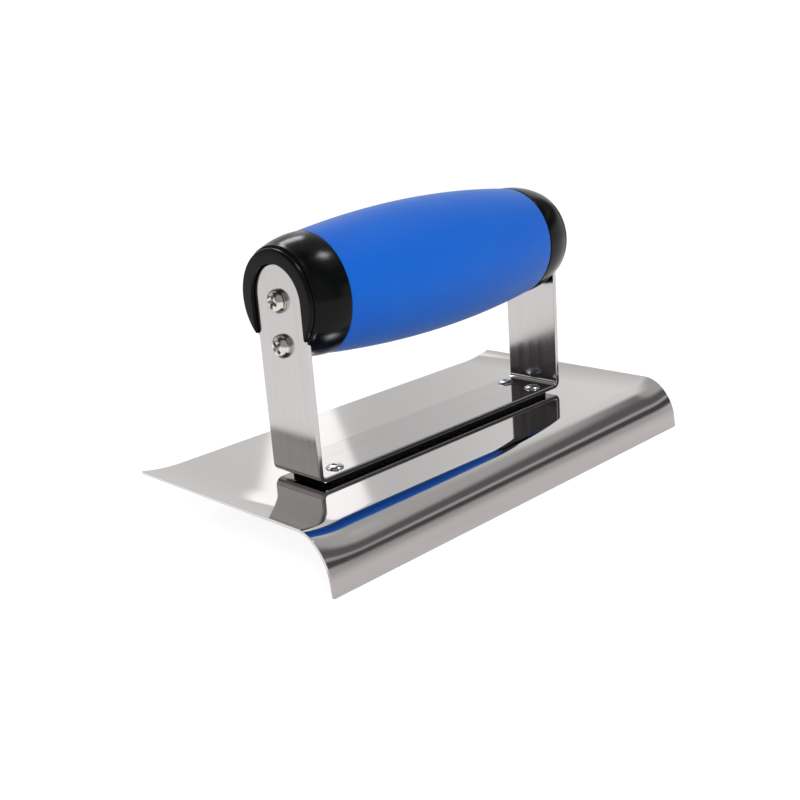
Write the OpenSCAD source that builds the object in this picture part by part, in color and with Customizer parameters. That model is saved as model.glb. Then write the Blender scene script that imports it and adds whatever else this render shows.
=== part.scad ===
// Hand edging trowel: a sheet blade with one long side bent down into a lip,
// a U-shaped strap riveted on it, and a soft grip screwed between the strap's legs.
// X runs across the blade towards the lip, Y along the blade, Z up.
// The origin is on the underside of the flat, under the middle of the strap.

/* [Blade] */
// Length of the blade along the lip
blade_len = 160; // [140:1:220]
// Distance from the strap's middle line to the straight back edge
blade_back = 43.5; // [30:0.5:70]
// Distance from the strap's middle line to the lip's lower outer edge
lip_reach = 41.4; // [38:0.1:60]
// Thickness of the stainless sheet
sheet_t = 1; // [0.8:0.1:1.5]
// Outer radius of the bend between flat and lip
bend_r = 12; // [6:0.5:12]
// Angle that the bend turns through
bend_angle = 84; // [75:1:89]
// How far the lip reaches below the underside of the flat
lip_drop = 13.6; // [12.5:0.1:20]
// How far the two ends of the flat are turned up
end_rise = 1.7; // [0.5:0.1:3]
// Length of each turned-up end
end_run = 14; // [10:1:20]

/* [Strap] */
// Width of the strap
strap_w = 20.8; // [16:0.1:21]
// Thickness of the strap
strap_t = 1.5; // [1:0.1:2]
// Length over the outsides of both legs
strap_len = 111; // [105:1:140]
// Outer radius of the strap's two bends
strap_bend_r = 2.5; // [2:0.1:5]
// Thickness of the strip between strap and blade
strip_t = 1.2; // [0.8:0.1:2]
// Width of that strip
strip_w = 17; // [15:0.5:19]
// Length of that strip
strip_len = 100; // [95:1:104]

/* [Handle] */
// Height of the handle's axis above the underside of the flat
axis_z = 54.4; // [48:0.1:70]
// Radius of the grip at its middle
grip_mid_r = 20.6; // [19:0.1:24]
// Radius of the grip where it meets the end caps
grip_end_r = 17.6; // [17:0.1:18.5]
// Radius of a cap where it meets the grip
cap_seam_r = 17.7; // [17:0.1:18.6]
// Radius of a cap at the start of its rounded rim
cap_rim_r = 15.1; // [14.8:0.1:16]
// Rounding of a cap's rim
cap_corner_r = 1.1; // [0.6:0.1:1.2]
// Half the length of the coloured grip
grip_half = 44; // [40:0.5:46]
// Thickness of the web between the core and the strap's leg
web_t = 2; // [1.5:0.1:2.5]
// Radius of the rigid core
core_r = 15; // [14.7:0.1:15.2]
// Height of each cap's rim over the strap's outer face
rim_proud = 1.2; // [1:0.1:2]

/* [Screws and rivets] */
// Diameter of a screw's shank
screw_d = 3.6; // [3:0.1:3.9]
// Diameter of a screw's pan head
screw_head_d = 7; // [6:0.1:8]
// Height of a screw's pan head
screw_head_h = 2.4; // [2:0.1:3]
// Length of a screw under its head
screw_len = 20; // [14:1:22]
// Distance between the two screws in one leg
screw_pitch = 12.8; // [11:0.1:12.8]
// Diameter of a rivet's shank
rivet_d = 3.2; // [2.4:0.1:3.6]
// Diameter of a rivet's domed head
rivet_head_d = 5.4; // [4.5:0.1:6]
// Height of a rivet's domed head
rivet_head_h = 1.1; // [0.8:0.1:1.3]
// Depth of the countersink that takes a rivet's flush tail
rivet_tail_h = 0.8; // [0.5:0.1:0.9]
// Distance between the two rivets at one end, across the strap
rivet_gap = 12; // [10:0.5:12.5]
// Distance between the two pairs of rivets, along the strap
rivet_span = 92; // [86:1:94]

/* [Hidden] */
$fn = 64;

steel = [0.78, 0.77, 0.76];
satin_steel = [0.70, 0.69, 0.68];
nickel = [0.62, 0.60, 0.58];
grip_blue = [0.13, 0.40, 0.78];
cap_black = [0.06, 0.06, 0.07];

fit_gap = 0.05;                    // clearance round every fastener and in every socket
slot_gap = 0.2;                    // clearance round a leg in its cap's slot
hole_gap = 0.3;                    // clearance round a screw in the strap
past = 1;                          // how far a cutting shape runs past the face it cuts
bend_steps = 14;                   // flats that make up the bend
run_steps = 6;                     // flats that make up one turned-up end

strap_under = sheet_t + strip_t;   // underside of the strap's base
strap_top = strap_under + strap_t; // top of the strap's base
leg_out = strap_len / 2;           // outer face of a leg
leg_in = leg_out - strap_t;        // inner face of a leg
core_half = leg_in - web_t;        // the core ends at the cap's web
cap_end = leg_out + rim_proud;     // outermost face of a cap

// The bend's centre, and the lip's straight length after it
bend_z = sheet_t - bend_r;
arc_end_z = bend_z + bend_r * cos(bend_angle);
lip_len = (arc_end_z + lip_drop) / sin(bend_angle);
bend_x = lip_reach - lip_len * cos(bend_angle) - bend_r * sin(bend_angle);

// Grip outline: one arc from cap to cap
barrel_sag = grip_mid_r - grip_end_r;
barrel_r = (grip_half * grip_half + barrel_sag * barrel_sag) / (2 * barrel_sag);
function barrel(y) = grip_mid_r - barrel_r + sqrt(barrel_r * barrel_r - y * y);

// Cap outline: an arc that starts level at the grip and draws in towards the rim
cap_run = cap_end - cap_corner_r - grip_half;
cap_sag = cap_seam_r - cap_rim_r;
cap_arc_r = (cap_run * cap_run + cap_sag * cap_sag) / (2 * cap_sag);
function cap_side(run) = cap_seam_r - cap_arc_r + sqrt(cap_arc_r * cap_arc_r - run * run);
function cap_corner(a) = [cap_rim_r - cap_corner_r * (1 - cos(a)), cap_end - cap_corner_r * (1 - sin(a))];

// A point on the sheet's cross-section, at distance r from the bend's centre
function bend_point(r, a) = [bend_x + r * sin(a), bend_z + r * cos(a)];
function lip_point(r) = bend_point(r, bend_angle) + lip_len * [cos(bend_angle), -sin(bend_angle)];

// Cross-section of the sheet, outer side first, then back along the inner side
function sheet_side(r) = concat([[-blade_back, bend_z + r]],
                                [for (i = [0:bend_steps]) bend_point(r, bend_angle * i / bend_steps)],
                                [lip_point(r)]);
side_count = bend_steps + 3;
inner_r = bend_r - sheet_t;
function reversed(list) = [for (i = [len(list) - 1:-1:0]) list[i]];
section = concat(sheet_side(bend_r), reversed(sheet_side(inner_r)));

// Places along the blade where its cross-section is drawn: both ends in steps, nothing between
flat_half = blade_len / 2 - end_run;
end_stations = [for (j = [0:run_steps]) flat_half + end_run * j / run_steps];
stations = concat(-reversed(end_stations), end_stations);

// How far the flat has risen at y along the blade: an arc at each end
rise_r = (end_run * end_run + end_rise * end_rise) / (2 * end_rise);
function rise(y) = rise_r - sqrt(rise_r * rise_r - pow(max(0, abs(y) - flat_half), 2));

// The rise fades out round the bend, so that the lip stays straight
function side_index(i) = i < side_count ? i : 2 * side_count - 1 - i;
function fade(k) = k <= 1 ? 1 : k > bend_steps ? 0 : pow(cos(90 * (k - 1) / bend_steps), 2);

// Two triangles for each four-cornered face, because those faces are slightly twisted
function halved(quads) = [for (q = quads) each [[q[0], q[1], q[2]], [q[0], q[2], q[3]]]];

module sheet() {
    count = len(section);
    last = (len(stations) - 1) * count;
    points = [for (y = stations) for (i = [0:count - 1])
              [section[i][0], y, section[i][1] + fade(side_index(i)) * rise(y)]];
    walls = [for (a = [0:count:last - 1]) for (i = [0:count - 1])
             let (n = (i + 1) % count)
             [a + i, a + n, a + count + n, a + count + i]];
    near_end = [for (k = [0:side_count - 2]) [k, count - 1 - k, count - 2 - k, k + 1]];
    far_end = [for (k = [0:side_count - 2])
               [last + k, last + k + 1, last + count - 2 - k, last + count - 1 - k]];
    polyhedron(points, halved(concat(walls, near_end, far_end)));
}

module at_rivets() {
    for (x = [-1, 1], y = [-1, 1])
        translate([x * rivet_gap / 2, y * rivet_span / 2, 0]) children();
}

module blade() color(steel) difference() {
    sheet();
    at_rivets() {
        translate([0, 0, -past]) cylinder(d = rivet_d + 2 * fit_gap, h = sheet_t + 2 * past);
        rivet_tail(fit_gap);
    }
}

// Side outline of the strap, with y to the right and z up
module strap_outline() {
    leg_top = axis_z + strap_w / 2;
    difference() {
        strap_shell(leg_out, strap_under, strap_bend_r, leg_top);
        strap_shell(leg_in, strap_top, strap_bend_r - strap_t, leg_top + past);
    }
}

module strap_shell(half, low, r, high) {
    for (side = [-1, 1]) translate([side * (half - r), low + r]) circle(r = r);
    translate([r - half, low]) square([2 * (half - r), high - low]);
    translate([-half, low + r]) square([2 * half, high - low - r]);
}

// Front outline of the strap, with a round top on the handle's axis
module leg_front(grow) {
    translate([0, axis_z]) circle(r = strap_w / 2 + grow);
    translate([-strap_w / 2 - grow, 0]) square([strap_w + 2 * grow, axis_z]);
}

module screw_holes(y, length, clear) {
    for (z = [axis_z, axis_z - screw_pitch])
        translate([0, y, z]) rotate([-90, 0, 0]) cylinder(d = screw_d + 2 * clear, h = length);
}

module strap() color(satin_steel) difference() {
    intersection() {
        rotate([90, 0, 90]) linear_extrude(strap_w, center = true) strap_outline();
        rotate([90, 0, 0]) linear_extrude(strap_len + 2 * past, center = true) leg_front(0);
    }
    screw_holes(-leg_out - past, strap_len + 2 * past, hole_gap);
    at_rivets() cylinder(d = rivet_d + 2 * fit_gap, h = strap_top + past);
}

module spacer_strip() color(cap_black) difference() {
    translate([-strip_w / 2, -strip_len / 2, sheet_t]) cube([strip_w, strip_len, strip_t]);
    at_rivets() cylinder(d = rivet_d + 2 * fit_gap, h = strap_top);
}

// Turns a shape drawn as radius and distance along the axis into place on the handle
module on_handle_axis() {
    translate([0, 0, axis_z]) rotate([-90, 0, 0]) rotate_extrude($fn = 96) children();
}

module handle_core() color(cap_black) difference() {
    translate([0, -core_half, axis_z]) rotate([-90, 0, 0])
        cylinder(r = core_r, h = 2 * core_half, $fn = 96);
    for (side = [0, 1]) mirror([0, side, 0])
        screw_holes(leg_out - screw_len - past, screw_len, fit_gap);
}

module grip_sleeve() color(grip_blue) on_handle_axis() {
    steps = 16;
    polygon(concat([[core_r + fit_gap, -grip_half]],
                   [for (i = [0:steps]) let (y = grip_half * (2 * i / steps - 1)) [barrel(y), y]],
                   [[core_r + fit_gap, grip_half]]));
}

// A cap on the +Y end: it plugs on the core and has a slot for the strap's leg
module end_cap() {
    steps = 8;
    slot_floor = leg_in + fit_gap;
    side = [for (i = [0:steps]) let (run = cap_run * i / steps) [cap_side(run), grip_half + run]];
    corner = [for (a = [15:15:90]) cap_corner(a)];
    difference() {
        on_handle_axis() polygon(concat([[0, grip_half]], side, corner, [[0, cap_end]]));
        translate([0, grip_half - past, axis_z]) rotate([-90, 0, 0])
            cylinder(r = core_r + fit_gap, h = core_half + fit_gap - grip_half + past, $fn = 96);
        translate([0, cap_end + past, 0]) rotate([90, 0, 0])
            linear_extrude(cap_end + past - slot_floor) leg_front(slot_gap);
        screw_holes(core_half - past, web_t + 2 * past, fit_gap);
    }
}

module end_cap_near() color(cap_black) mirror([0, 1, 0]) end_cap();
module end_cap_far() color(cap_black) end_cap();

// A self-tapping pan head screw with a cross recess, driven in along -Y from the +Y end
module screw(z) color(nickel) {
    shank_r = screw_d / 2;
    head_r = screw_head_d / 2;
    dome_r = 1.8;
    tip_len = screw_d;
    recess_len = 4.2;
    recess_w = 1.1;
    recess_depth = 1.5;
    shank = [[0, -screw_len], [shank_r, tip_len - screw_len], [shank_r, 0], [head_r, 0]];
    dome = [for (a = [0:15:90])
            [head_r - dome_r * (1 - cos(a)), screw_head_h - dome_r * (1 - sin(a))]];
    translate([0, leg_out, z]) rotate([-90, 0, 0]) difference() {
        rotate_extrude($fn = 48) polygon(concat(shank, dome, [[0, screw_head_h]]));
        for (turn = [45, 135]) rotate([0, 0, turn])
            translate([-recess_len / 2, -recess_w / 2, screw_head_h - recess_depth])
                cube([recess_len, recess_w, recess_depth + past]);
    }
}

module screw_far_top() screw(axis_z);
module screw_far_bottom() screw(axis_z - screw_pitch);
module screw_near_top() mirror([0, 1, 0]) screw(axis_z);
module screw_near_bottom() mirror([0, 1, 0]) screw(axis_z - screw_pitch);

// The flush tail of a rivet, countersunk into the underside of the sheet
module rivet_tail(clear) {
    top_r = rivet_d / 2;
    height = rivet_tail_h + clear;
    translate([0, 0, -clear]) cylinder(r1 = top_r + height, r2 = top_r, h = height);
}

// A set rivet: flush tail, shank, and a dome with the pit that its mandrel leaves
module rivet(x_side, y_side) color(nickel) {
    head_r = rivet_head_d / 2;
    dome = [for (a = [10:16:90]) [head_r * cos(a), rivet_head_h * sin(a)]];
    translate([x_side * rivet_gap / 2, y_side * rivet_span / 2, 0]) {
        rivet_tail(0);
        difference() {
            union() {
                cylinder(d = rivet_d, h = strap_top);
                translate([0, 0, strap_top]) rotate_extrude()
                    polygon(concat([[0, 0], [head_r, 0]], dome, [[0, rivet_head_h]]));
            }
            translate([0, 0, strap_top + rivet_head_h / 2])
                cylinder(d = rivet_d / 2, h = rivet_head_h);
        }
    }
}

module rivet_near_front() rivet(1, -1);
module rivet_near_back() rivet(-1, -1);
module rivet_far_front() rivet(1, 1);
module rivet_far_back() rivet(-1, 1);

blade();
strap();
spacer_strip();
handle_core();
grip_sleeve();
end_cap_near();
end_cap_far();
screw_near_top();
screw_near_bottom();
screw_far_top();
screw_far_bottom();
rivet_near_front();
rivet_near_back();
rivet_far_front();
rivet_far_back();
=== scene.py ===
# %% [markdown]
# # A hand edging trowel
#
# The tool is a mirror-polished sheet with one long side bent down into a lip, a satin
# steel strap riveted on it, and a soft blue grip between two glossy black caps. Each
# cell makes one piece or one finish. Everything is in metres, in the frame of the
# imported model: X runs across the blade towards the lip, Y along it, Z up.

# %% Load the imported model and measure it
import math

import bmesh
import bpy
from mathutils import Matrix, Vector


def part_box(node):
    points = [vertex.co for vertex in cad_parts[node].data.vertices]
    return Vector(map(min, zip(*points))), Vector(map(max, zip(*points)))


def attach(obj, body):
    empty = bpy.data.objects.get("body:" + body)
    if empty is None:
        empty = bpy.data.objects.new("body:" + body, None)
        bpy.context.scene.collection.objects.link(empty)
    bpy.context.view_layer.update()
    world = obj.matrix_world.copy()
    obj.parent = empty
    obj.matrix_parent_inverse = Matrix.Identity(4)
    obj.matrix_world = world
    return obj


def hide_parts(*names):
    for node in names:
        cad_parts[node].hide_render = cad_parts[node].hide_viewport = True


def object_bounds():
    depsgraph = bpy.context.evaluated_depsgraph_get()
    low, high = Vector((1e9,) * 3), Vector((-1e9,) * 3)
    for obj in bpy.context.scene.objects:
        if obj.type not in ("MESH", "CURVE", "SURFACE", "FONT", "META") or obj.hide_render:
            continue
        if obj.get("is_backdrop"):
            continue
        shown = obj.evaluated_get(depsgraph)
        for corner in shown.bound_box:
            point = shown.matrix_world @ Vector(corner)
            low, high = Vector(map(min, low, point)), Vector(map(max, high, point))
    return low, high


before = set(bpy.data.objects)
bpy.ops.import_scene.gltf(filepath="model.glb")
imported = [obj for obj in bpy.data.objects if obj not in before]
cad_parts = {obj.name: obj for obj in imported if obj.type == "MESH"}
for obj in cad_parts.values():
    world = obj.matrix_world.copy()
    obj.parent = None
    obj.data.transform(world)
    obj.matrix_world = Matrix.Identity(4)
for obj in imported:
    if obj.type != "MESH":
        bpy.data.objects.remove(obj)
cad_low, cad_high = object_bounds()
MM = 0.001

blade_low, blade_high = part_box("blade")
strap_low, strap_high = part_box("strap")
strip_low, strip_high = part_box("spacer_strip")
grip_low, grip_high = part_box("grip_sleeve")
cap_low, cap_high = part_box("end_cap_far")
core_low, core_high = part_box("handle_core")

sheet_t = strip_low.z
axis_z = (grip_low.z + grip_high.z) / 2
leg_out = strap_high.y
strap_w = strap_high.x - strap_low.x
strap_t = 1.5 * MM
print("object", [round(v / MM, 1) for v in cad_high - cad_low], "mm")
print("handle axis at", round(axis_z / MM, 1), "mm")

# %% [markdown]
# ## The camera
#
# The camera stands in front of the lip, a little above the blade, and is rolled a few
# degrees. It comes first, so that every later step can be looked at from there.

# %% The camera
camera_place = Vector((238.94, -242.32, 116.79)) * MM
camera_azimuth = math.radians(46.05)
camera_elevation = math.radians(17.21)
camera_roll = math.radians(-4.31)
camera_lens = 50.13

back = Vector((math.sin(camera_azimuth) * math.cos(camera_elevation),
               -math.cos(camera_azimuth) * math.cos(camera_elevation),
               math.sin(camera_elevation)))
level_right = Vector((math.cos(camera_azimuth), math.sin(camera_azimuth), 0))
level_up = back.cross(level_right)
right = level_right * math.cos(camera_roll) + level_up * math.sin(camera_roll)
up = level_up * math.cos(camera_roll) - level_right * math.sin(camera_roll)

camera_data = bpy.data.cameras.new("camera")
camera_data.lens = camera_lens
camera_data.clip_start = 0.01
camera = bpy.data.objects.new("camera", camera_data)
bpy.context.scene.collection.objects.link(camera)
camera.matrix_world = Matrix.Translation(camera_place) @ Matrix((right, up, back)).transposed().to_4x4()
bpy.context.scene.camera = camera
print("camera at", [round(v, 3) for v in camera_place])

# %% [markdown]
# ## Helpers for meshes
#
# `plain` bakes an object's modifiers into its mesh, which keeps each finished piece a
# plain mesh at the origin. `spun` turns a profile round an axis, for everything that a
# lathe or a round mould makes. `finish_edges` rounds every sharp edge a little, because
# no real edge is perfectly sharp and the small round is what catches the light.

# %% Mesh helpers
def new_piece(name, mesh):
    """An object at the origin that holds the mesh."""
    piece = bpy.data.objects.new(name, mesh)
    bpy.context.scene.collection.objects.link(piece)
    return piece


def plain(piece):
    """Bakes the modifiers into the mesh."""
    graph = bpy.context.evaluated_depsgraph_get()
    graph.update()
    mesh = bpy.data.meshes.new_from_object(piece.evaluated_get(graph))
    piece.modifiers.clear()
    piece.data = mesh
    mesh.name = piece.name
    return piece


def finish_edges(piece, width, segments=3, angle=35):
    """Rounds every edge that is sharper than the angle."""
    bevel = piece.modifiers.new("edge", "BEVEL")
    bevel.width = width
    bevel.segments = segments
    bevel.limit_method = "ANGLE"
    bevel.angle_limit = math.radians(angle)
    bevel.harden_normals = True
    piece.data.shade_smooth()
    return plain(piece)


def arc(centre, radius, start, end, steps):
    """Points on an arc, in degrees, as (radius, height) pairs."""
    turns = [math.radians(start + (end - start) * i / steps) for i in range(steps + 1)]
    return [(centre[0] + radius * math.cos(t), centre[1] + radius * math.sin(t)) for t in turns]


def spun(name, profile, segments=96):
    """A closed profile of (radius, height) points, turned round Z."""
    work = bmesh.new()
    rings = []
    for radius, height in profile:
        if radius < 1e-9:
            rings.append([work.verts.new((0, 0, height))])
        else:
            rings.append([work.verts.new((radius * math.cos(math.tau * i / segments),
                                          radius * math.sin(math.tau * i / segments), height))
                          for i in range(segments)])
    for lower, upper in zip(rings, rings[1:] + rings[:1]):
        for i in range(segments):
            corners = [lower[i % len(lower)], lower[(i + 1) % len(lower)],
                       upper[(i + 1) % len(upper)], upper[i % len(upper)]]
            corners = list(dict.fromkeys(corners))
            if len(corners) > 2:
                work.faces.new(corners)
    bmesh.ops.recalc_face_normals(work, faces=work.faces)
    mesh = bpy.data.meshes.new(name)
    work.to_mesh(mesh)
    work.free()
    return new_piece(name, mesh)


def place(piece, matrix):
    """Moves the mesh itself, so that the object stays at the origin."""
    piece.data.transform(matrix)
    piece.data.update()
    return piece


# Turns a shape made round Z so that it lies on the handle's axis
ON_HANDLE = Matrix.Translation((0, 0, axis_z)) @ Matrix.Rotation(math.radians(-90), 4, "X")
MIRROR_ENDS = Matrix.Diagonal((1, -1, 1, 1))

# %% [markdown]
# ## Helpers for Geometry Nodes
#
# A node tree is easier to read as a formula. `Formula` wraps one node tree and lets the
# cells below write sums and products of sockets as plain arithmetic. `Group` is a
# formula with named inputs, and `grown` makes a piece from such a group.

# %% Node helpers
class Formula:
    """Arithmetic between the sockets of one node tree."""

    def __init__(self, tree):
        self.tree = tree

    def node(self, kind, **settings):
        made = self.tree.nodes.new(kind)
        for key, value in settings.items():
            setattr(made, key, value)
        return made

    def feed(self, socket, value):
        if isinstance(value, bpy.types.NodeSocket):
            self.tree.links.new(value, socket)
        else:
            socket.default_value = value

    def math(self, operation, *values):
        made = self.node("ShaderNodeMath", operation=operation)
        for socket, value in zip(made.inputs, values):
            self.feed(socket, value)
        return made.outputs[0]

    def times(self, *values):
        total = values[0]
        for value in values[1:]:
            total = self.math("MULTIPLY", total, value)
        return total

    def plus(self, *values):
        total = values[0]
        for value in values[1:]:
            total = self.math("ADD", total, value)
        return total

    def minus(self, a, b):
        return self.math("SUBTRACT", a, b)


class Group(Formula):
    """A node group with named inputs and outputs."""

    def __init__(self, name, kind, inputs, outputs):
        super().__init__(bpy.data.node_groups.new(name, kind))
        for label, socket, value in inputs:
            made = self.tree.interface.new_socket(label, in_out="INPUT", socket_type=socket)
            if value is not None:
                made.default_value = value
        for label, socket in outputs:
            self.tree.interface.new_socket(label, in_out="OUTPUT", socket_type=socket)
        self.start = self.node("NodeGroupInput")
        self.end = self.node("NodeGroupOutput")

    def given(self, label):
        return self.start.outputs[label]

    def result(self, label, value):
        self.tree.links.new(value, self.end.inputs[label])


def set_inputs(modifier, **values):
    """Gives a Geometry Nodes modifier its inputs by the names that the tree shows."""
    sockets = {item.name.replace(" ", "_").lower(): item.identifier
               for item in modifier.node_group.interface.items_tree
               if item.item_type == "SOCKET" and item.in_out == "INPUT"}
    for name, value in values.items():
        modifier[sockets[name]] = value


def grown(name, tree, **values):
    """A piece grown by a Geometry Nodes tree, turned into a plain mesh."""
    piece = new_piece(name, bpy.data.meshes.new(name))
    modifier = piece.modifiers.new(name, "NODES")
    modifier.node_group = tree
    set_inputs(modifier, **values)
    return plain(piece)

# %% [markdown]
# ## Shared surface effects
#
# Three effects come back in several finishes, so each is a node group. The first is
# brushed grain, the fine lines that an abrasive belt leaves on steel: noise stretched
# along one direction. The three small helpers above it serve the other groups too.

# %% Brushed grain
def vector_times(group, vector, scale):
    node = group.node("ShaderNodeVectorMath", operation="MULTIPLY")
    group.feed(node.inputs[0], vector)
    group.feed(node.inputs[1], scale)
    return node.outputs[0]


def noise(group, vector, scale, detail, roughness=0.5):
    node = group.node("ShaderNodeTexNoise")
    group.feed(node.inputs["Vector"], vector)
    group.feed(node.inputs["Scale"], scale)
    group.feed(node.inputs["Detail"], detail)
    group.feed(node.inputs["Roughness"], roughness)
    return node.outputs["Fac"]


def spread(group, value, low, high, to_low, to_high):
    node = group.node("ShaderNodeMapRange")
    for label, number in (("From Min", low), ("From Max", high),
                          ("To Min", to_low), ("To Max", to_high)):
        group.feed(node.inputs[label], number)
    group.feed(node.inputs["Value"], value)
    return node.outputs["Result"]


def build_brushed_grain():
    group = Group("brushed_grain", "ShaderNodeTree",
                  [("Vector", "NodeSocketVector", None), ("Stretch", "NodeSocketVector", None),
                   ("Fineness", "NodeSocketFloat", 1.0)],
                  [("Height", "NodeSocketFloat"), ("Streaks", "NodeSocketFloat")])
    stretched = vector_times(group, group.given("Vector"), group.given("Stretch"))
    fine = noise(group, stretched, group.given("Fineness"), 4.0, 0.6)
    coarse = noise(group, stretched, group.times(group.given("Fineness"), 0.17), 3.0, 0.55)
    group.result("Height", group.plus(group.times(fine, 0.7), group.times(coarse, 0.3)))
    group.result("Streaks", spread(group, coarse, 0.3, 0.7, 0.0, 1.0))
    return group.tree


brushed_grain = build_brushed_grain()
print("effect:", brushed_grain.name)

# %% [markdown]
# Handling marks are the faint smears and hairlines that any polished or glossy part picks
# up. Cloud-like noise gives the smears, and the edges of stretched Voronoi cells give thin
# scratches, which only show inside some of the smears.

# %% Handling marks
def build_handling_marks():
    group = Group("handling_marks", "ShaderNodeTree",
                  [("Vector", "NodeSocketVector", None), ("Smear Size", "NodeSocketFloat", 60.0),
                   ("Scratch Amount", "NodeSocketFloat", 0.3)],
                  [("Mask", "NodeSocketFloat"), ("Scratches", "NodeSocketFloat")])
    smears = noise(group, group.given("Vector"), group.given("Smear Size"), 5.0, 0.6)
    voronoi = group.node("ShaderNodeTexVoronoi", feature="DISTANCE_TO_EDGE")
    group.feed(voronoi.inputs["Vector"], vector_times(group, group.given("Vector"), (1.0, 0.35, 1.0)))
    group.feed(voronoi.inputs["Scale"], 140.0)
    hairline = spread(group, voronoi.outputs["Distance"], 0.0, 0.012, 1.0, 0.0)
    patches = spread(group, smears, 0.52, 0.68, 0.0, 1.0)
    group.result("Mask", spread(group, smears, 0.35, 0.7, 0.0, 1.0))
    group.result("Scratches", group.times(hairline, patches, group.given("Scratch Amount")))
    return group.tree


handling_marks = build_handling_marks()
print("effect:", handling_marks.name)

# %% [markdown]
# Moulded skin is the very fine orange peel of moulded plastic and rubber, with a slow
# mottle in its colour from the way the material flowed.

# %% Moulded skin
def build_moulded_skin():
    group = Group("moulded_skin", "ShaderNodeTree",
                  [("Vector", "NodeSocketVector", None), ("Grain Size", "NodeSocketFloat", 2500.0)],
                  [("Height", "NodeSocketFloat"), ("Mottle", "NodeSocketFloat")])
    grain = noise(group, group.given("Vector"), group.given("Grain Size"), 2.0, 0.5)
    swirl = noise(group, group.given("Vector"), 45.0, 3.0, 0.5)
    group.result("Height", grain)
    group.result("Mottle", spread(group, swirl, 0.3, 0.7, 0.0, 1.0))
    return group.tree


moulded_skin = build_moulded_skin()
print("effect:", moulded_skin.name)

# %% [markdown]
# ## Finishes
#
# Every finish is a Principled BSDF whose roughness, colour and bump vary over the
# surface. `Finish` holds the few steps that they share: where the pattern is anchored,
# how an effect group is placed, and how its values are mixed.

# %% Finish helper
class Finish(Formula):
    """A material, with the same arithmetic as a node group."""

    def __init__(self, name, **fixed):
        self.material = bpy.data.materials.new(name)
        self.material.use_nodes = True
        super().__init__(self.material.node_tree)
        self.shader = self.tree.nodes["Principled BSDF"]
        self.place = self.node("ShaderNodeTexCoord").outputs["Object"]
        for label, value in fixed.items():
            self.shader.inputs[label.replace("_", " ")].default_value = value

    def effect(self, tree, **values):
        node = self.node("ShaderNodeGroup", node_tree=tree)
        for label, value in values.items():
            self.feed(node.inputs[label.replace("_", " ")], value)
        return node.outputs

    def colour_between(self, mask, first, second):
        node = self.node("ShaderNodeMix", data_type="RGBA")
        self.feed(node.inputs["Factor"], mask)
        self.feed(node.inputs[6], (*first, 1))
        self.feed(node.inputs[7], (*second, 1))
        return node.outputs[2]

    def drive(self, label, value):
        self.tree.links.new(value, self.shader.inputs[label])

    def bump(self, height, depth, strength=1.0):
        node = self.node("ShaderNodeBump")
        self.feed(node.inputs["Height"], height)
        self.feed(node.inputs["Distance"], depth)
        self.feed(node.inputs["Strength"], strength)
        self.drive("Normal", node.outputs["Normal"])

# %% [markdown]
# The blade is polished like a mirror, with a barely visible ripple from rolling. Its lip
# is only brushed, along the blade, and the bend above it is a little duller than the
# flat, so the finish changes with height.

# %% Polished sheet, brushed at the lip
def polished_sheet_finish():
    f = Finish("polished_sheet", Metallic=1.0)
    marks = f.effect(handling_marks, Vector=f.place, Smear_Size=38.0, Scratch_Amount=0.25)
    grain = f.effect(brushed_grain, Vector=f.place, Stretch=(1.0, 0.03, 1.0), Fineness=2600.0)
    split = f.node("ShaderNodeSeparateXYZ")
    f.feed(split.inputs[0], f.place)
    brush_start, brush_full = -5.4 * MM, -7.0 * MM
    dull_start, dull_full = 0.9 * MM, -1.5 * MM
    lip = spread(f, split.outputs["Z"], brush_start, brush_full, 0.0, 1.0)
    bend = spread(f, split.outputs["Z"], dull_start, dull_full, 0.0, 1.0)
    mirror = f.plus(0.05, f.times(bend, 0.05), f.times(marks["Mask"], 0.03),
                    f.times(marks["Scratches"], 0.10))
    brushed = f.plus(0.27, f.times(grain["Streaks"], 0.10))
    rough = f.node("ShaderNodeMix", data_type="FLOAT")
    f.feed(rough.inputs["Factor"], lip)
    f.feed(rough.inputs[2], mirror)
    f.feed(rough.inputs[3], brushed)
    f.drive("Roughness", rough.outputs[0])
    f.drive("Base Color", f.colour_between(lip, (0.62, 0.595, 0.59), (0.44, 0.405, 0.405)))
    f.bump(f.times(grain["Height"], f.plus(f.times(lip, 0.95), 0.012)), 0.012 * MM)
    return f.material

# %% [markdown]
# The strap is cut from satin strip. Its grain runs along the strip, up the legs and
# along the base, so the pattern follows the strap's own unwrapped length and not the
# object's axes. The base is polished brighter than the legs.

# %% Satin strap
def satin_strap_finish():
    f = Finish("satin_strap", Metallic=1.0)
    unwrapped = f.node("ShaderNodeUVMap", uv_map="along_strap").outputs["UV"]
    grain = f.effect(brushed_grain, Vector=unwrapped, Stretch=(1.0, 0.022, 1.0), Fineness=62.0)
    marks = f.effect(handling_marks, Vector=f.place, Smear_Size=55.0, Scratch_Amount=0.2)
    split = f.node("ShaderNodeSeparateXYZ")
    f.feed(split.inputs[0], f.place)
    satin_start, satin_full = 4.5 * MM, 7.5 * MM
    legs = spread(f, split.outputs["Z"], satin_start, satin_full, 0.1, 1.0)
    f.drive("Base Color", f.colour_between(grain["Streaks"], (0.525, 0.503, 0.50), (0.56, 0.538, 0.535)))
    satin = f.plus(0.08, f.times(grain["Streaks"], 0.04), f.times(marks["Mask"], 0.03))
    f.drive("Roughness", f.plus(0.03, f.times(satin, legs)))
    f.bump(f.times(grain["Height"], legs), 0.004 * MM)
    return f.material

# %% [markdown]
# The grip is a soft-touch rubber, evenly blue, with a dull sheen that brightens where the
# surface turns away. The caps are harder, glossy and black, and show a little dust.

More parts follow.
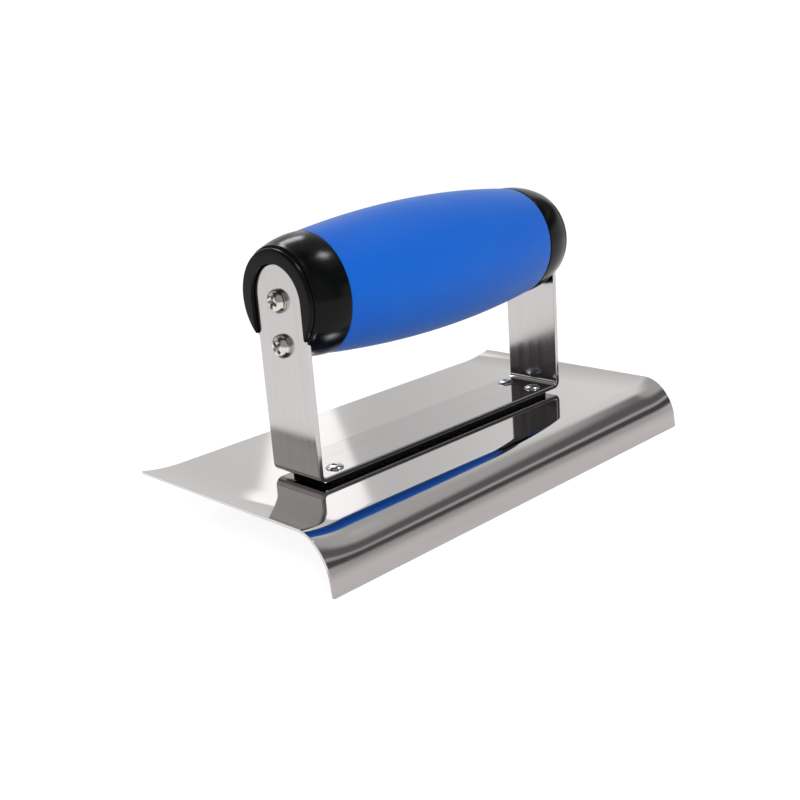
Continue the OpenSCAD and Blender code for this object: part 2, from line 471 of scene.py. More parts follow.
# %% Grip and caps
def grip_finish():
    f = Finish("soft_blue_grip", Specular_IOR_Level=0.10, Sheen_Weight=0.35, Sheen_Roughness=0.35,
               Sheen_Tint=(0.85, 1.0, 0.75, 1.0))
    skin = f.effect(moulded_skin, Vector=f.place, Grain_Size=2600.0)
    marks = f.effect(handling_marks, Vector=f.place, Smear_Size=70.0, Scratch_Amount=0.0)
    f.drive("Base Color", f.colour_between(skin["Mottle"], (0.005, 0.099, 0.50), (0.007, 0.110, 0.525)))
    f.drive("Roughness", f.plus(0.55, f.times(marks["Mask"], 0.07)))
    f.bump(skin["Height"], 0.05 * MM, 0.35)
    return f.material


def cap_finish():
    f = Finish("gloss_black_cap", Specular_IOR_Level=0.12)
    skin = f.effect(moulded_skin, Vector=f.place, Grain_Size=700.0)
    marks = f.effect(handling_marks, Vector=f.place, Smear_Size=90.0, Scratch_Amount=0.5)
    f.drive("Base Color", f.colour_between(marks["Mask"], (0.0018, 0.0021, 0.0023),
                                           (0.003, 0.0033, 0.0035)))
    f.drive("Roughness", f.plus(0.17, f.times(marks["Mask"], 0.05), f.times(marks["Scratches"], 0.15)))
    f.bump(skin["Height"], 0.03 * MM, 0.25)
    return f.material

# %% [markdown]
# The screws are nickel-plated and bright, the rivets duller, and the core is a plain black moulding that
# mostly stays in the dark. The strip under the strap is coloured near black, which is painted shade for
# the narrow gap between the strap and the sheet.

# %% Fasteners, strip and core
def plated_finish(name, colour, roughness, spots):
    f = Finish(name, Metallic=1.0)
    marks = f.effect(handling_marks, Vector=f.place, Smear_Size=420.0, Scratch_Amount=0.4)
    skin = f.effect(moulded_skin, Vector=f.place, Grain_Size=1500.0)
    f.drive("Base Color", f.colour_between(marks["Mask"], colour, [c * spots for c in colour]))
    f.drive("Roughness", f.plus(roughness, f.times(marks["Mask"], 0.10)))
    f.bump(skin["Height"], 0.02 * MM, 0.4)
    return f.material


# Dark plastic for the core; on the strip under the strap the same near-black colour is painted shade
def dark_moulding_and_shade_finish(name, colour, roughness):
    f = Finish(name, Specular_IOR_Level=0.3)
    skin = f.effect(moulded_skin, Vector=f.place, Grain_Size=1800.0)
    f.drive("Base Color", f.colour_between(skin["Mottle"], colour, [c * 1.5 for c in colour]))
    f.drive("Roughness", f.plus(roughness, f.times(skin["Mottle"], 0.08)))
    f.bump(skin["Height"], 0.05 * MM, 0.5)
    return f.material


sheet_steel = polished_sheet_finish()
strap_steel = satin_strap_finish()
grip_blue = grip_finish()
cap_black = cap_finish()
screw_nickel = plated_finish("screw_nickel", (0.68, 0.65, 0.62), 0.09, 0.85)
rivet_steel = plated_finish("rivet_steel", (0.58, 0.56, 0.55), 0.24, 0.75)
# The strip's near-black colour is painted shade for the narrow gap under the strap
strip_shade_black = dark_moulding_and_shade_finish("black_strip", (0.006, 0.006, 0.006), 0.6)
core_black = dark_moulding_and_shade_finish("core_plastic", (0.02, 0.02, 0.02), 0.5)
print("finishes:", len(bpy.data.materials))

# %% [markdown]
# ## The blade
#
# The sheet follows a rule, so Geometry Nodes bend it. A flat grid stands for the sheet
# before it goes into the press: one side of the grid is measured along the sheet's
# cross-section, flat first, then round the bend, then down the lip, and the other side
# along the blade. The same tree lifts the two ends a little, less and less round the
# bend, so that the lip stays straight.

# %% Bend the sheet with Geometry Nodes
bend_r = 12 * MM
bend_angle = math.radians(84)
end_run = 14 * MM
end_rise = blade_high.z - sheet_t
bend_drop = bend_r * (1 - math.cos(bend_angle))
lip_len = (sheet_t * (1 - math.cos(bend_angle)) - bend_drop - blade_low.z) / math.sin(bend_angle)
bend_start = blade_high.x - lip_len * math.cos(bend_angle) - bend_r * math.sin(bend_angle)


def build_pressed_sheet():
    names = ("Back", "Flat Length", "Bend Radius", "Bend Angle", "Lip Length", "Top",
             "Half Length", "End Run", "Rise Radius")
    g = Group("pressed_sheet", "GeometryNodeTree",
              [(n, "NodeSocketFloat", 0.01) for n in names]
              + [("Across", "NodeSocketInt", 160), ("Along", "NodeSocketInt", 120),
                 ("Finish", "NodeSocketMaterial", None)],
              [("Geometry", "NodeSocketGeometry")])
    grid = g.node("GeometryNodeMeshGrid")
    for socket, value in (("Size X", 1.0), ("Size Y", 2.0)):
        g.feed(grid.inputs[socket], value)
    g.feed(grid.inputs["Vertices X"], g.given("Across"))
    g.feed(grid.inputs["Vertices Y"], g.given("Along"))
    split = g.node("ShaderNodeSeparateXYZ")
    g.feed(split.inputs[0], g.node("GeometryNodeInputPosition").outputs[0])
    radius, angle = g.given("Bend Radius"), g.given("Bend Angle")
    arc_len = g.times(radius, angle)
    whole = g.plus(g.given("Flat Length"), arc_len, g.given("Lip Length"))
    travelled = g.times(g.plus(split.outputs["X"], 0.5), whole)
    on_flat = g.math("MINIMUM", travelled, g.given("Flat Length"))
    past_flat = g.math("MAXIMUM", g.minus(travelled, g.given("Flat Length")), 0.0)
    turned = g.math("MINIMUM", g.math("DIVIDE", past_flat, radius), angle)
    on_lip = g.math("MAXIMUM", g.minus(past_flat, arc_len), 0.0)
    x = g.plus(g.given("Back"), on_flat, g.times(radius, g.math("SINE", turned)),
               g.times(on_lip, g.math("COSINE", angle)))
    drop = g.plus(g.times(radius, g.minus(1.0, g.math("COSINE", turned))),
                  g.times(on_lip, g.math("SINE", angle)))
    y = g.times(split.outputs["Y"], g.given("Half Length"))
    into_end = g.math("MAXIMUM", g.minus(g.plus(g.math("ABSOLUTE", y), g.given("End Run")),
                                         g.given("Half Length")), 0.0)
    rise_r = g.given("Rise Radius")
    lift = g.minus(rise_r, g.math("SQRT", g.minus(g.times(rise_r, rise_r), g.times(into_end, into_end))))
    fade = g.math("COSINE", g.times(g.math("DIVIDE", turned, angle), math.pi / 2))
    z = g.plus(g.minus(g.given("Top"), drop), g.times(lift, fade, fade))
    put = g.node("ShaderNodeCombineXYZ")
    for socket, value in zip(put.inputs, (x, y, z)):
        g.feed(socket, value)
    move = g.node("GeometryNodeSetPosition")
    g.feed(move.inputs["Geometry"], grid.outputs["Mesh"])
    g.feed(move.inputs["Position"], put.outputs[0])
    paint = g.node("GeometryNodeSetMaterial")
    g.feed(paint.inputs["Geometry"], move.outputs["Geometry"])
    g.feed(paint.inputs["Material"], g.given("Finish"))
    real = g.node("GeometryNodeRealizeInstances")
    g.feed(real.inputs["Geometry"], paint.outputs["Geometry"])
    g.result("Geometry", real.outputs["Geometry"])
    return g.tree


blade = grown("polished_blade", build_pressed_sheet(), back=blade_low.x,
              flat_length=bend_start - blade_low.x, bend_radius=bend_r, bend_angle=bend_angle,
              lip_length=lip_len, top=sheet_t, half_length=blade_high.y, end_run=end_run,
              rise_radius=(end_run ** 2 + end_rise ** 2) / (2 * end_rise), finish=sheet_steel)
print("sheet:", len(blade.data.polygons), "faces, lip", round(lip_len / MM, 2), "mm long")

# %% [markdown]
# Solidify gives the sheet its thickness on the underside. The turned-up ends then lean a
# little outwards, so they are trimmed square, as a shear would leave them, and the edges
# are deburred.

# %% Thickness, trimming and deburring
thickness = blade.modifiers.new("thickness", "SOLIDIFY")
thickness.thickness = sheet_t
thickness.offset = -1
plain(blade)
for v in blade.data.vertices:
    v.co.y = max(blade_low.y, min(blade_high.y, v.co.y))
finish_edges(blade, 0.12 * MM, 2, 50)
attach(blade, "root")
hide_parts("blade")
print("blade:", len(blade.data.polygons), "faces")

# %% [markdown]
# ## The strap
#
# The strap is one strip bent twice. Its outer face is drawn as two legs with round tops,
# two quarter bends and a base, each point carrying how far along the strip it lies.
# That distance becomes the UV map, which is what the satin grain follows. A short flat
# stretch beside each bend keeps the long flats truly flat in their reflections.

# %% Bend the strap
bend_steps = 10
top_steps = 40
strap_bend_r = 2.5 * MM
beside_bend = 0.3 * MM


def build_strap():
    half = strap_w / 2
    base_half = leg_out - strap_bend_r
    bend_len = strap_bend_r * math.pi / 2
    leg_len = axis_z - strap_low.z - strap_bend_r
    work = bmesh.new()
    uv = work.loops.layers.uv.new("along_strap")
    along = {}

    def point(x, y, z, distance):
        v = work.verts.new((x, y, z))
        along[v] = (x / strap_w, distance / strap_w)
        return v

    def pair(y, z, distance):
        return [point(-half, y, z, distance), point(half, y, z, distance)]

    for side in (-1, 1):
        rows = [pair(side * flat, strap_low.z, side * flat)
                for flat in (base_half - beside_bend, base_half)]
        for i in range(1, bend_steps + 1):
            turn = math.pi / 2 * i / bend_steps
            rows.append(pair(side * (base_half + strap_bend_r * math.sin(turn)),
                             strap_low.z + strap_bend_r * (1 - math.cos(turn)),
                             side * (base_half + bend_len * i / bend_steps)))
        rows.append(pair(side * leg_out, strap_low.z + strap_bend_r + beside_bend,
                         side * (base_half + bend_len + beside_bend)))
        for lower, upper in zip(rows, rows[1:]):
            work.faces.new([lower[0], lower[1], upper[1], upper[0]])
        top = []
        for i in range(top_steps + 1):
            turn = math.pi * i / top_steps
            rise = half * math.sin(turn)
            top.append(point(half * math.cos(turn), side * leg_out, axis_z + rise,
                             side * (base_half + bend_len + leg_len + rise)))
        work.faces.new([rows[-1][0], rows[-1][1], *top])
        if side < 0:
            first = rows[0]
        else:
            work.faces.new([first[0], first[1], rows[0][1], rows[0][0]])
    for face in work.faces:
        for loop in face.loops:
            loop[uv].uv = along[loop.vert]
    bmesh.ops.recalc_face_normals(work, faces=work.faces)
    outward = [f for f in work.faces if f.normal.z < -0.99]
    if not outward:
        bmesh.ops.reverse_faces(work, faces=work.faces)
    mesh = bpy.data.meshes.new("satin_strap")
    work.to_mesh(mesh)
    work.free()
    return new_piece("satin_strap", mesh)


strap = build_strap()
thickness = strap.modifiers.new("thickness", "SOLIDIFY")
thickness.thickness = strap_t
thickness.offset = -1
thickness.use_even_offset = True
plain(strap)
finish_edges(strap, 0.3 * MM, 3, 50)
strap.data.materials.append(strap_steel)
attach(strap, "root")
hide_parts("strap")
print("strap:", len(strap.data.polygons), "faces")

# %% [markdown]
# ## The grip
#
# The grip is a barrel: one long arc from cap to cap. Geometry Nodes take a plain tube,
# turn it on to the handle's axis and swell it by the arc's own formula.

# %% Swell the grip with Geometry Nodes
grip_half = grip_high.y
grip_mid_r = (grip_high.x - grip_low.x) / 2
cap_seam_r = (cap_high.x - cap_low.x) / 2
grip_end_r = cap_seam_r - 0.1 * MM
core_r = (core_high.x - core_low.x) / 2
barrel_sag = grip_mid_r - grip_end_r
barrel_r = (grip_half ** 2 + barrel_sag ** 2) / (2 * barrel_sag)


def build_barrel():
    g = Group("barrel_grip", "GeometryNodeTree",
              [("Middle Radius", "NodeSocketFloat", 0.02), ("Arc Radius", "NodeSocketFloat", 0.3),
               ("Length", "NodeSocketFloat", 0.09), ("Axis Height", "NodeSocketFloat", 0.05),
               ("Round", "NodeSocketInt", 128), ("Rings", "NodeSocketInt", 48),
               ("Finish", "NodeSocketMaterial", None)],
              [("Geometry", "NodeSocketGeometry")])
    tube = g.node("GeometryNodeMeshCylinder", fill_type="NONE")
    g.feed(tube.inputs["Vertices"], g.given("Round"))
    g.feed(tube.inputs["Side Segments"], g.given("Rings"))
    g.feed(tube.inputs["Radius"], 1.0)
    g.feed(tube.inputs["Depth"], g.given("Length"))
    split = g.node("ShaderNodeSeparateXYZ")
    g.feed(split.inputs[0], g.node("GeometryNodeInputPosition").outputs[0])
    y = split.outputs["Z"]
    arc_radius = g.given("Arc Radius")
    radius = g.plus(g.minus(g.given("Middle Radius"), arc_radius),
                    g.math("SQRT", g.minus(g.times(arc_radius, arc_radius), g.times(y, y))))
    put = g.node("ShaderNodeCombineXYZ")
    g.feed(put.inputs["X"], g.times(split.outputs["X"], radius))
    g.feed(put.inputs["Y"], y)
    g.feed(put.inputs["Z"], g.minus(g.given("Axis Height"), g.times(split.outputs["Y"], radius)))
    move = g.node("GeometryNodeSetPosition")
    g.feed(move.inputs["Geometry"], tube.outputs["Mesh"])
    g.feed(move.inputs["Position"], put.outputs[0])
    paint = g.node("GeometryNodeSetMaterial")
    g.feed(paint.inputs["Geometry"], move.outputs["Geometry"])
    g.feed(paint.inputs["Material"], g.given("Finish"))
    real = g.node("GeometryNodeRealizeInstances")
    g.feed(real.inputs["Geometry"], paint.outputs["Geometry"])
    g.result("Geometry", real.outputs["Geometry"])
    return g.tree


seam = 0.06 * MM
grip = grown("soft_grip", build_barrel(), middle_radius=grip_mid_r, arc_radius=barrel_r,
             length=2 * (grip_half - seam), axis_height=axis_z, finish=grip_blue)
thickness = grip.modifiers.new("thickness", "SOLIDIFY")
thickness.thickness = grip_end_r - core_r - 0.1 * MM
thickness.offset = -1
plain(grip)
finish_edges(grip, 0.35 * MM, 3, 50)
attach(grip, "root")
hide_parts("grip_sleeve")
print("grip:", len(grip.data.polygons), "faces, middle radius", round(grip_mid_r / MM, 1), "mm")

# %% [markdown]
# ## The end caps
#
# A cap carries the barrel's arc on to its end, where a narrow rim stands up round the
# strap's leg. It is turned like the real mould's core, and then the leg's slot is cut
# out of it. The slot's mouth and the rim get the soft edge of a moulding.

# %% Turn the cap and cut its slot
cap_end = cap_high.y
web_inside = core_high.y
slot_gap = 0.2 * MM
rim_foot = cap_end - 1.4 * MM
cap_run = rim_foot - grip_half
cap_rim_r = 15.3 * MM
cap_sag = cap_seam_r - cap_rim_r
cap_arc_r = (cap_run ** 2 + cap_sag ** 2) / (2 * cap_sag)


def cap_side(run):
    """The cap's radius this far past its seam with the grip."""
    return cap_seam_r - cap_arc_r + math.sqrt(cap_arc_r ** 2 - run ** 2)


def cap_profile():
    """Half of the cap's section: seam, outside, rim, then back along the inside."""
    crest, shoulder, seam_round = 0.75 * MM, 0.6 * MM, 0.3 * MM
    steps = 10
    seam_edge = arc((cap_seam_r - seam_round, grip_half + seam_round), seam_round, -80, -10, 4)
    runs = [seam_round + (cap_run - shoulder - seam_round) * i / steps for i in range(steps + 1)]
    outside = [(cap_side(run), grip_half + run) for run in runs]
    outside += arc((outside[-1][0] - shoulder, outside[-1][1]), shoulder, 12, 78, 5)
    rim_r = cap_side(cap_run) - 0.5 * MM
    rim = [(rim_r, rim_foot)] + arc((rim_r - crest, cap_end - crest), crest, 0, 90, 8)
    inside = [(0, cap_end), (0, web_inside), (core_r, web_inside), (core_r, grip_half)]
    return seam_edge + outside + rim + inside


def leg_cutter(name, grow, low_y, high_y):
    """The strap's leg with some room round it, to cut its slot with."""
    half = strap_w / 2 + grow
    steps = 48
    outline = [(half * math.cos(math.pi * i / steps), axis_z + half * math.sin(math.pi * i / steps))
               for i in range(steps + 1)]
    outline += [(-half, strap_low.z), (half, strap_low.z)]
    work = bmesh.new()
    near = [work.verts.new((x, low_y, z)) for x, z in outline]
    face = work.faces.new(near)
    grown_part = bmesh.ops.extrude_face_region(work, geom=[face])
    moved = [v for v in grown_part["geom"] if isinstance(v, bmesh.types.BMVert)]
    bmesh.ops.translate(work, verts=moved, vec=(0, high_y - low_y, 0))
    bmesh.ops.recalc_face_normals(work, faces=work.faces)
    mesh = bpy.data.meshes.new(name)
    work.to_mesh(mesh)
    work.free()
    return new_piece(name, mesh)


def cut(piece, tool):
    boolean = piece.modifiers.new("cut", "BOOLEAN")
    boolean.operation = "DIFFERENCE"
    boolean.object = tool
    boolean.solver = "EXACT"
    plain(piece)
    bpy.data.objects.remove(tool)
    return piece


far_cap = place(spun("cap_far", cap_profile(), 128), ON_HANDLE)
cut(far_cap, leg_cutter("slot_tool", slot_gap, leg_out - strap_t, cap_end + MM))
finish_edges(far_cap, 0.4 * MM, 3, 40)
far_cap.data.materials.append(cap_black)

near_mesh = far_cap.data.copy()
near_cap = new_piece("cap_near", near_mesh)
place(near_cap, MIRROR_ENDS)
near_mesh.flip_normals()
for cap, node in ((far_cap, "end_cap_far"), (near_cap, "end_cap_near")):
    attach(cap, "root")
    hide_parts(node)
print("cap:", len(far_cap.data.polygons), "faces")

# %% [markdown]
# ## Screws and rivets
#
# Each fastener is made once, standing at the origin, and set out four times further on.
# The screw is turned: a flat-topped dome over a pointed shank. Two tapered blades, cut
# out at right angles, leave the cross recess.

# %% One pan head screw
screw_low, screw_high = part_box("screw_far_top")
lower_screw_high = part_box("screw_far_bottom")[1]
head_r = (screw_high.x - screw_low.x) / 2
head_h = screw_high.y - leg_out
screw_len = leg_out - screw_low.y
shank_r = 1.8 * MM
screw_pitch = screw_high.z - lower_screw_high.z
recess_depth = 1.7 * MM
point_len = 3.5 * MM


def recess_blade(name, turn):
    """One of the two tapered blades that make a cross recess."""
    top, bottom = 2.6 * MM, 1.0 * MM
    width = 0.6 * MM
    low, high = head_h - recess_depth, head_h + MM
    work = bmesh.new()
    corners = [work.verts.new((x * reach, y * width * wide, z))
               for z, reach, wide in ((low, bottom, 0.6), (high, top, 1.15))
               for x, y in ((-1, -1), (1, -1), (1, 1), (-1, 1))]
    bmesh.ops.convex_hull(work, input=corners)
    bmesh.ops.rotate(work, verts=work.verts, matrix=Matrix.Rotation(turn, 3, "Z"))
    bmesh.ops.recalc_face_normals(work, faces=work.faces)
    mesh = bpy.data.meshes.new(name)
    work.to_mesh(mesh)
    work.free()
    return new_piece(name, mesh)


def build_screw():
    dome_r = head_r * 0.62
    dome = [(head_r - dome_r + dome_r * math.cos(t), (head_h - 0.25 * MM) * math.sin(t) + 0.25 * MM)
            for t in (math.pi / 2 * i / 12 for i in range(13))]
    point = [(0, -screw_len), (shank_r * 0.3, -screw_len + 0.5 * MM),
             (shank_r * 0.9, -screw_len + point_len), (shank_r, -screw_len + 5 * MM)]
    seat = [(shank_r, 0), (head_r - 0.1 * MM, 0), (head_r, 0.1 * MM)]
    screw = spun("screw", point + seat + dome + [(0, head_h)], 64)
    for turn in (0, math.pi / 2):
        cut(screw, recess_blade("recess_tool", turn))
    return finish_edges(screw, 0.09 * MM, 2, 40)


screw = build_screw()
print("screw head", round(2 * head_r / MM, 1), "mm across,", len(screw.data.polygons), "faces")

# %% [markdown]
# The rivet is closed by a press, so it is one turned shape too: a tail spread into the
# countersink under the sheet, a shank, and a low dome with the small pit of the setting
# tool in the middle.

# %% One rivet
rivet_low, rivet_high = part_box("rivet_far_front")
rivet_x = (rivet_low.x + rivet_high.x) / 2
rivet_y = (rivet_low.y + rivet_high.y) / 2
rivet_shank_r = 1.6 * MM


def build_rivet():
    top_r = (rivet_high.x - rivet_low.x) / 2
    seat = strip_high.z + strap_t
    dome_h = rivet_high.z - seat
    pit_r, pit_depth = 0.8 * MM, 0.5 * MM
    rim = math.acos(min(1, (pit_r + 0.15 * MM) / top_r))
    dome = [(top_r * math.cos(t), seat + dome_h * math.sin(t))
            for t in (rim * i / 10 for i in range(11))]
    lip_z = dome[-1][1]
    pit = [(pit_r, lip_z - 0.06 * MM), (pit_r * 0.96, lip_z - pit_depth), (0, lip_z - pit_depth)]
    tail_r = rivet_shank_r + 0.8 * MM
    proud = 0.03 * MM
    shank = [(0, -proud), (tail_r - 0.15 * MM, -proud), (tail_r, 0.06 * MM),
             (rivet_shank_r, 0.8 * MM), (rivet_shank_r, seat)]
    rivet = spun("rivet", shank + dome + pit, 48)
    rivet.data.shade_smooth()
    return finish_edges(rivet, 0.05 * MM, 2, 45)


rivet = build_rivet()
print("rivet:", len(rivet.data.polygons), "faces")

# %% [markdown]
# Four screws and four rivets stand on two-by-two grids, so one Geometry Nodes tree sets
# out both. It turns the screws to face outwards, and gives each fastener its own chance
# turn round its axis, because nobody lines up their screw slots.

# %% Set four of each out with Geometry Nodes
def build_set_out():
    g = Group("set_out_fasteners", "GeometryNodeTree",
              [("Pattern", "NodeSocketObject", None), ("Across", "NodeSocketFloat", 0.01),
               ("Along", "NodeSocketFloat", 0.1), ("Centre", "NodeSocketVector", None),
               ("Grid Turn", "NodeSocketVector", None), ("Lean", "NodeSocketFloat", 0.0),
               ("Seed", "NodeSocketInt", 1), ("Finish", "NodeSocketMaterial", None)],
              [("Geometry", "NodeSocketGeometry")])
    grid = g.node("GeometryNodeMeshGrid")
    for label, value in (("Size X", g.given("Across")), ("Size Y", g.given("Along")),
                         ("Vertices X", 2), ("Vertices Y", 2)):
        g.feed(grid.inputs[label], value)
    turn = g.node("GeometryNodeTransform")
    g.feed(turn.inputs["Geometry"], grid.outputs["Mesh"])
    g.feed(turn.inputs["Translation"], g.given("Centre"))
    g.feed(turn.inputs["Rotation"], g.given("Grid Turn"))
    split = g.node("ShaderNodeSeparateXYZ")
    g.feed(split.inputs[0], g.node("GeometryNodeInputPosition").outputs[0])
    outward = g.node("ShaderNodeCombineXYZ")
    g.feed(outward.inputs["X"], g.times(g.math("SIGN", split.outputs["Y"]), g.given("Lean"), -1.0))
    info = g.node("GeometryNodeObjectInfo", transform_space="ORIGINAL")
    g.feed(info.inputs["Object"], g.given("Pattern"))
    stand = g.node("GeometryNodeInstanceOnPoints")
    g.feed(stand.inputs["Points"], turn.outputs["Geometry"])
    g.feed(stand.inputs["Instance"], info.outputs["Geometry"])
    g.feed(stand.inputs["Rotation"], outward.outputs[0])
    chance = g.node("FunctionNodeRandomValue", data_type="FLOAT")
    g.feed(chance.inputs[2], 0.0)
    g.feed(chance.inputs[3], math.tau)
    g.feed(chance.inputs["Seed"], g.given("Seed"))
    own_turn = g.node("ShaderNodeCombineXYZ")
    g.feed(own_turn.inputs["Z"], chance.outputs[1])
    spin = g.node("GeometryNodeRotateInstances")
    g.feed(spin.inputs["Instances"], stand.outputs["Instances"])
    g.feed(spin.inputs["Rotation"], own_turn.outputs[0])
    real = g.node("GeometryNodeRealizeInstances")
    g.feed(real.inputs["Geometry"], spin.outputs["Instances"])
    paint = g.node("GeometryNodeSetMaterial")
    g.feed(paint.inputs["Geometry"], real.outputs["Geometry"])
    g.feed(paint.inputs["Material"], g.given("Finish"))
    g.result("Geometry", paint.outputs["Geometry"])
    return g.tree


set_out = build_set_out()
screws = grown("handle_screws", set_out, pattern=screw, across=screw_pitch, along=2 * leg_out,
               centre=(0, 0, (screw_low.z + screw_high.z - screw_pitch) / 2),
               grid_turn=(0, math.pi / 2, 0), lean=math.pi / 2, seed=4, finish=screw_nickel)
rivets = grown("strap_rivets", set_out, pattern=rivet, across=2 * rivet_x, along=2 * rivet_y,
               centre=(0, 0, 0), grid_turn=(0, 0, 0), lean=0.0, seed=7, finish=rivet_steel)
for template in (screw, rivet):
    bpy.data.objects.remove(template)

ENDS = ("near", "far")
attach(screws, "root")
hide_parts(*[f"screw_{end}_{level}" for end in ENDS for level in ("top", "bottom")])
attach(rivets, "root")
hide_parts(*[f"rivet_{end}_{side}" for end in ENDS for side in ("front", "back")])
print("screws:", len(screws.data.polygons), "faces, rivets:", len(rivets.data.polygons), "faces")

# %% [markdown]
# ## Strip and core
#
# The strip under the strap and the rigid core inside the grip are right as they come from the imported
# model. They only get their finish; the strip's near-black finish is painted shade for the gap under the
# strap.

# %% Finish the carried-over pieces
for node, material in (("spacer_strip", strip_shade_black), ("handle_core", core_black)):
    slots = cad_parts[node].data.materials
    slots.clear()
    slots.append(material)
print("kept as they are:", "spacer_strip, handle_core")

# %% [markdown]
# ## The studio
#
# A mirror only shows what stands round it, so the studio matters more here than on a
# painted tool. The floor is a plain pale sheet with a little light of its own, so that the
# tool stands on a light ground without a hard shadow.

# %% Floor
floor_z = blade_low.z
floor_half = 0.7
floor_grey = 0.3
floor_glow = 0.8
floor_mesh = bpy.data.meshes.new("floor")
floor_mesh.from_pydata([(-floor_half, -floor_half, floor_z), (floor_half, -floor_half, floor_z),
                        (floor_half, floor_half, floor_z), (-floor_half, floor_half, floor_z)],
                       [], [(0, 1, 2, 3)])
floor = new_piece("floor", floor_mesh)
floor_finish = bpy.data.materials.new("pale_floor")
floor_finish.use_nodes = True
floor_shader = floor_finish.node_tree.nodes["Principled BSDF"]
floor_shader.inputs["Base Color"].default_value = (floor_grey, floor_grey, floor_grey, 1)
floor_shader.inputs["Roughness"].default_value = 0.9
floor_shader.inputs["Specular IOR Level"].default_value = 0.0
floor_shader.inputs["Emission Color"].default_value = (1, 1, 1, 1)
floor_shader.inputs["Emission Strength"].default_value = floor_glow
floor.data.materials.append(floor_finish)
floor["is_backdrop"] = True
print("floor at", round(floor_z / MM, 1), "mm")

# %% [markdown]
# The sky stands for the room. Every direction is measured three ways: how far it points
# towards the camera, how far to the camera's right, and how high. Soft steps in these
# three numbers draw the room's parts.

# %% Sky
world = bpy.data.worlds.new("studio")
bpy.context.scene.world = world
world.use_nodes = True
sky = Formula(world.node_tree)
sky_shader = sky.tree.nodes["Background"]
direction = sky.node("ShaderNodeTexCoord").outputs["Generated"]


def towards(axis):
    """How far the sky's direction points along an axis."""
    node = sky.node("ShaderNodeVectorMath", operation="DOT_PRODUCT")
    sky.feed(node.inputs[0], direction)
    sky.feed(node.inputs[1], axis)
    return node.outputs["Value"]


def soft_step(value, start, end):
    """0 before the start, 1 past the end, and smooth in between."""
    node = sky.node("ShaderNodeMapRange", interpolation_type="SMOOTHSTEP")
    for label, number in (("Value", value), ("From Min", start), ("From Max", end)):
        sky.feed(node.inputs[label], number)
    return node.outputs["Result"]


def blend(mask, first, second):
    """The first brightness where the mask is 0, and the second where it is 1."""
    node = sky.node("ShaderNodeMix", data_type="FLOAT")
    for socket, value in zip((node.inputs[0], node.inputs[2], node.inputs[3]), (mask, first, second)):
        sky.feed(socket, value)
    return node.outputs[0]


front = towards(Vector((back.x, back.y, 0)).normalized())
side = towards(level_right)
height = towards((0, 0, 1))
print("sky measured towards the camera and to its right")

# %% [markdown]
# The room has a pale wall behind the tool, a dark wall on the right with a strip light,
# a lit wall on the left, a bright horizon, and a tall bright panel at the back, which the
# flat of the blade mirrors. The side that the camera stands on is darker, as a studio is
# behind its lights: that keeps the caps black and draws the dark lines round the bend.

# %% Walls of the studio
# Behind the tool the wall is brightest on the right, dimmer in the middle and high up
back_wall = blend(soft_step(side, -0.10, -0.02), 0.80, 0.70)
back_wall = blend(soft_step(side, -0.02, 0.20), back_wall, 0.92)
back_wall = blend(soft_step(height, 0.58, 0.80), back_wall, 0.50)

# On the camera's side it is nearly black, with grey straight behind the camera
front_wall = blend(soft_step(front, 0.35, 0.65), 0.045, 0.40)
level = blend(soft_step(front, 0.0, -0.35), front_wall, back_wall)

# On the right it is dark, with a strip light part of the way up and some light above
strip_brightness = 0.38
low_right = blend(soft_step(height, 0.40, 0.34), 0.13, 0.07)
right_wall = blend(soft_step(height, 0.58, 0.67), low_right, 0.50)
on_right = sky.times(soft_step(side, 0.40, 0.55), soft_step(front, 0.35, 0.15))
level = blend(on_right, level, right_wall)
strip_light = sky.times(soft_step(side, 0.68, 0.76), soft_step(height, 0.36, 0.39),
                        soft_step(height, 0.46, 0.43), soft_step(front, 0.25, 0.0))
level = sky.plus(level, sky.times(strip_light, strip_brightness))

# The lowest part of the room is bright all round, except towards the camera
horizon = sky.times(soft_step(height, 0.24, 0.14), soft_step(front, 0.42, 0.22))
level = blend(horizon, level, 0.80)

# On the left it is bright between a dark foot and a dark top
high_left = blend(soft_step(height, 0.50, 0.55), 0.65, 0.20)
left_wall = blend(soft_step(height, 0.08, 0.12), 0.18, high_left)
on_left = sky.times(soft_step(side, -0.45, -0.75), soft_step(front, 0.04, -0.05))
level = blend(on_left, level, left_wall)

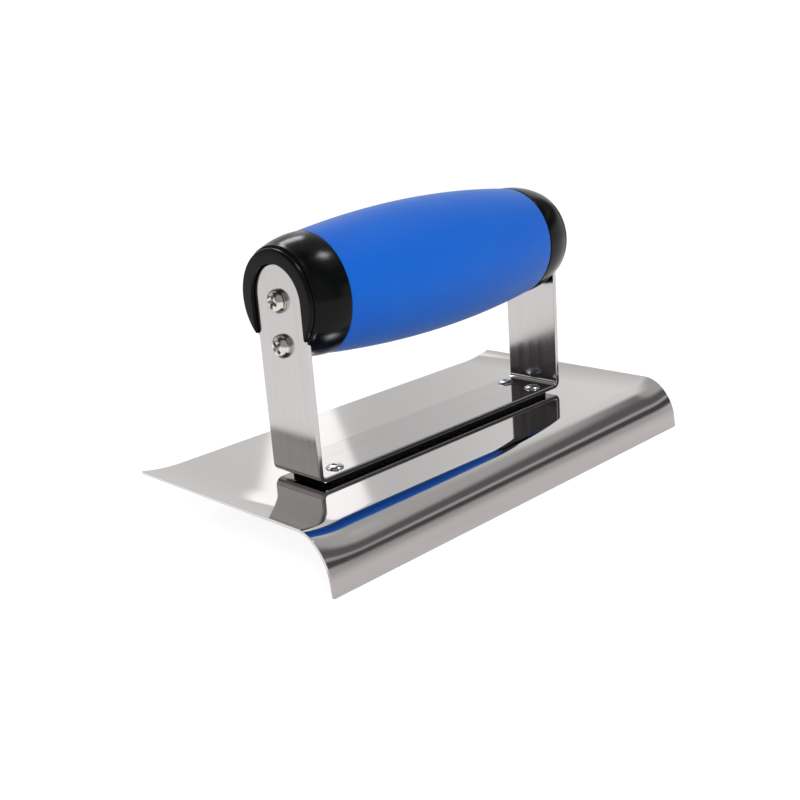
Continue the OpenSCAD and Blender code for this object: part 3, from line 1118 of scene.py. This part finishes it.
# The sides of the bright panel lean a little
panel_brightness = 0.66
right_edge = sky.minus(side, sky.times(sky.minus(height, 0.30), 0.33))
left_edge = sky.plus(side, sky.times(sky.minus(height, 0.33), 0.30))
panel = sky.times(soft_step(right_edge, -0.055, -0.064), soft_step(left_edge, -0.128, -0.113),
                  soft_step(front, -0.6, -0.7), soft_step(height, 0.56, 0.46))
level = sky.plus(level, sky.times(panel, panel_brightness))

# Seen directly, all of it is plain white
backdrop_brightness = 1.1
seen = sky.node("ShaderNodeLightPath").outputs["Is Camera Ray"]
sky_shader.inputs["Color"].default_value = (1.0, 1.0, 1.0, 1)
sky.tree.links.new(blend(seen, level, backdrop_brightness), sky_shader.inputs["Strength"])
print("walls, panel and horizon in", len(sky.tree.nodes), "nodes")

# %% [markdown]
# Three soft lights do the rest. The ones above and behind stand where they also draw the
# two highlights on the near cap and the pale top of the grip. The fill from the front only
# softens the shadows, so it is kept out of reflections.

# %% Lights
def soft_light(name, place_at, size, power, target=(0, 0, 30 * MM)):
    data = bpy.data.lights.new(name, "AREA")
    data.shape = "RECTANGLE"
    data.size, data.size_y = size
    data.energy = power
    light = bpy.data.objects.new(name, data)
    bpy.context.scene.collection.objects.link(light)
    aim = Vector(target) - Vector(place_at)
    light.rotation_euler = aim.to_track_quat("-Z", "Y").to_euler()
    light.location = place_at
    light.visible_camera = False
    return light


above = soft_light("above", (0.30, 0.40, 0.99), (0.18, 0.18), 3.2)
behind = soft_light("behind", (-0.68, 0.35, 0.83), (0.35, 0.25), 2.6)
fill = soft_light("fill", Vector((back.x, back.y, 0.75)) * 0.8, (0.5, 0.5), 6)
fill.visible_glossy = False
bpy.context.scene.view_settings.view_transform = "Standard"
print("lights:", above.name, behind.name, fill.name)

# %% [markdown]
# ## Sizes
#
# The last cell prints how far the visual model's box lies from the imported model's box, in millimetres.

# %% Sizes and finish
low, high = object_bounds()
gaps = [round((a - b) / MM, 3) for a, b in zip((*low, *high), (*cad_low, *cad_high))]
print("visual minus packed box, mm:", gaps)
